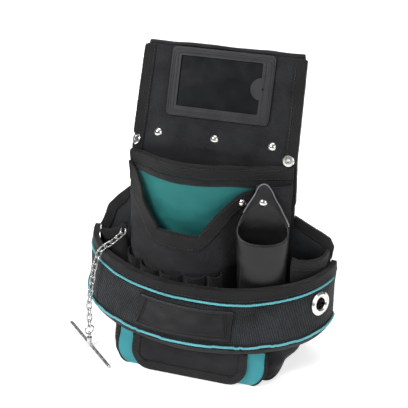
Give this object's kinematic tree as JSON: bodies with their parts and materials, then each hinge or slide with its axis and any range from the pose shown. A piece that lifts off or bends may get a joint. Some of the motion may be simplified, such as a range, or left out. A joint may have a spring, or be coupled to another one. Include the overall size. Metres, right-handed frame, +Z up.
{
  "type": "electrician tool pouch",
  "caption": "Belt-hung electrician's pouch with nested tool pockets, sleeve holster, card window, bowed front band, bellows pocket and a hanging chain with a T-bar for tape rolls",
  "frame": {"origin": "on the resting plane, below the middle of the front face of the back panel", "axes": "+Z up, the front of the pouch looks along -Y, +X is its right-hand side as seen from the front"},
  "size_m": [0.2772, 0.1528, 0.2962],
  "materials": {
    "ballistic_cloth": "coarse matte weave",
    "pocket_cloth": "fine matte weave",
    "edge_tape": "ribbed satin tape",
    "band_cloth": "fine vertical rib",
    "lining_cloth": "smooth coated cloth",
    "teal_cloth": "smooth satin cloth",
    "teal_cord": "woven cord",
    "elastic": "ribbed elastic",
    "stiffener": "sheet",
    "rubber_patch": "moulded",
    "sleeve_vinyl": "satin coated sheet",
    "frame_plastic": "soft satin",
    "window_film": "dark clear film",
    "nickel": "nickel plate",
    "chain_steel": "nickel-plated steel"
  },
  "bodies": {
    "pouch": {"band_hem_binding": "edge_tape", "band_lining": "lining_cloth", "band_top_binding": "edge_tape", "bellows_bindings": "edge_tape", "bellows_front": "ballistic_cloth", "bellows_gusset": "teal_cloth", "belt_tunnel": "ballistic_cloth", "card_film": "window_film", "card_frame": "frame_plastic", "chain_tab": "edge_tape", "corner_rivets": "nickel", "driver_loops": "elastic", "eyelet": "nickel", "eyelet_washer": "nickel", "front_band": "band_cloth", "holster": "sleeve_vinyl", "label_patch": "rubber_patch", "lower_front_wall": "ballistic_cloth", "lower_gussets": "ballistic_cloth", "middle_pocket": "pocket_cloth", "middle_pocket_binding": "edge_tape", "panel_bindings": "edge_tape", "panel_board": "stiffener", "panel_front_skin": "ballistic_cloth", "panel_rear_skin": "ballistic_cloth", "panel_rivets": "nickel", "pipings": "teal_cord", "pocket_flank": "ballistic_cloth", "pouch_floor": "stiffener", "rear_pocket_binding": "edge_tape", "rear_pocket_facing": "ballistic_cloth", "rear_pocket_front": "teal_cloth", "rivet_washers": "nickel", "side_bindings": "edge_tape", "side_pocket_left": "pocket_cloth", "side_pocket_right": "pocket_cloth", "small_rivets": "nickel", "tab_ring": "chain_steel", "wing_bindings": "edge_tape", "wing_walls": "pocket_cloth"},
    "link_00": {"link_00": "chain_steel"},
    "link_01": {"link_01": "chain_steel"},
    "link_02": {"link_02": "chain_steel"},
    "link_03": {"link_03": "chain_steel"},
    "link_04": {"link_04": "chain_steel"},
    "link_05": {"link_05": "chain_steel"},
    "link_06": {"link_06": "chain_steel"},
    "link_07": {"link_07": "chain_steel"},
    "link_08": {"link_08": "chain_steel"},
    "link_09": {"link_09": "chain_steel"},
    "link_10": {"link_10": "chain_steel"},
    "link_11": {"link_11": "chain_steel"},
    "link_12": {"link_12": "chain_steel"},
    "link_13": {"link_13": "chain_steel"},
    "link_14": {"link_14": "chain_steel"},
    "link_15": {"link_15": "chain_steel"},
    "chain_ring": {"chain_ring": "chain_steel"},
    "swivel_eye": {"swivel_eye": "chain_steel"},
    "t_bar": {"t_bar": "chain_steel", "swivel_barrel": "chain_steel"}
  },
  "joints": [
    {"name": "link_00_lift", "type": "hinge", "parent": "pouch", "child": "link_00", "pos_m": [-0.08812, -0.02258, 0.1109], "axis": [-0.766, 0.6428, -0.0003], "range_deg": [0, 5]},
    {"name": "link_01_sway", "type": "hinge", "parent": "link_00", "child": "link_01", "pos_m": [-0.09248, -0.02752, 0.10803], "axis": [-0.3019, -0.3596, 0.8829], "range_deg": [-2, 2]},
    {"name": "link_02_lift", "type": "hinge", "parent": "link_01", "child": "link_02", "pos_m": [-0.09656, -0.03217, 0.10475], "axis": [-0.7545, 0.6562, 0.0093], "range_deg": [0, 5]},
    {"name": "link_03_sway", "type": "hinge", "parent": "link_02", "child": "link_03", "pos_m": [-0.10119, -0.03744, 0.10397], "axis": [-0.1006, -0.1198, 0.9877], "range_deg": [-2, 2]},
    {"name": "link_04_lift", "type": "hinge", "parent": "link_03", "child": "link_04", "pos_m": [-0.10483, -0.04261, 0.10087], "axis": [-0.8019, 0.5969, -0.026], "range_deg": [0, 15]},
    {"name": "link_05_sway", "type": "hinge", "parent": "link_04", "child": "link_05", "pos_m": [-0.10615, -0.04606, 0.09471], "axis": [-0.5334, -0.6354, 0.5584], "range_deg": [-8, 8]},
    {"name": "link_06_lift", "type": "hinge", "parent": "link_05", "child": "link_06", "pos_m": [-0.10779, -0.04973, 0.08898], "axis": [-0.8131, 0.5672, -0.1312], "range_deg": [0, 12]},
    {"name": "link_07_sway", "type": "hinge", "parent": "link_06", "child": "link_07", "pos_m": [-0.10809, -0.05218, 0.08239], "axis": [-0.6058, -0.7217, 0.335], "range_deg": [-8, 8]},
    {"name": "link_08_lift", "type": "hinge", "parent": "link_07", "child": "link_08", "pos_m": [-0.10857, -0.05478, 0.07591], "axis": [-0.7927, 0.5836, -0.1762], "range_deg": [0, 12]},
    {"name": "link_09_sway", "type": "hinge", "parent": "link_08", "child": "link_09", "pos_m": [-0.10905, -0.05739, 0.06943], "axis": [-0.6058, -0.7217, 0.335], "range_deg": [-8, 8]},
    {"name": "link_10_lift", "type": "hinge", "parent": "link_09", "child": "link_10", "pos_m": [-0.10953, -0.06, 0.06295], "axis": [-0.7927, 0.5836, -0.1762], "range_deg": [0, 12]},
    {"name": "link_11_sway", "type": "hinge", "parent": "link_10", "child": "link_11", "pos_m": [-0.11001, -0.0626, 0.05647], "axis": [-0.6058, -0.7217, 0.335], "range_deg": [-8, 8]},
    {"name": "link_12_lift", "type": "hinge", "parent": "link_11", "child": "link_12", "pos_m": [-0.11048, -0.06521, 0.04999], "axis": [-0.7927, 0.5836, -0.1762], "range_deg": [0, 12]},
    {"name": "link_13_sway", "type": "hinge", "parent": "link_12", "child": "link_13", "pos_m": [-0.11043, -0.06577, 0.04297], "axis": [-0.6402, -0.7627, 0.0918], "range_deg": [-8, 8]},
    {"name": "link_14_lift", "type": "hinge", "parent": "link_13", "child": "link_14", "pos_m": [-0.11044, -0.0666, 0.03602], "axis": [-0.7682, 0.6359, -0.0743], "range_deg": [0, 12]},
    {"name": "link_15_sway", "type": "hinge", "parent": "link_14", "child": "link_15", "pos_m": [-0.11045, -0.06743, 0.02907], "axis": [-0.6402, -0.7627, 0.0918], "range_deg": [-8, 8]},
    {"name": "chain_ring_lift", "type": "hinge", "parent": "link_15", "child": "chain_ring", "pos_m": [-0.11046, -0.06825, 0.02212], "axis": [-0.7682, 0.6359, -0.0743], "range_deg": [0, 30]},
    {"name": "swivel_eye_sway", "type": "hinge", "parent": "chain_ring", "child": "swivel_eye", "pos_m": [-0.11048, -0.06915, 0.01462], "axis": [-0.6402, -0.7627, 0.0918], "range_deg": [-15, 15]},
    {"name": "t_bar_turn", "type": "hinge", "parent": "swivel_eye", "child": "t_bar", "pos_m": [-0.11049, -0.06973, 0.00968], "axis": [-0.0017, -0.1181, -0.993], "range_deg": [-20, 20]}
  ]
}
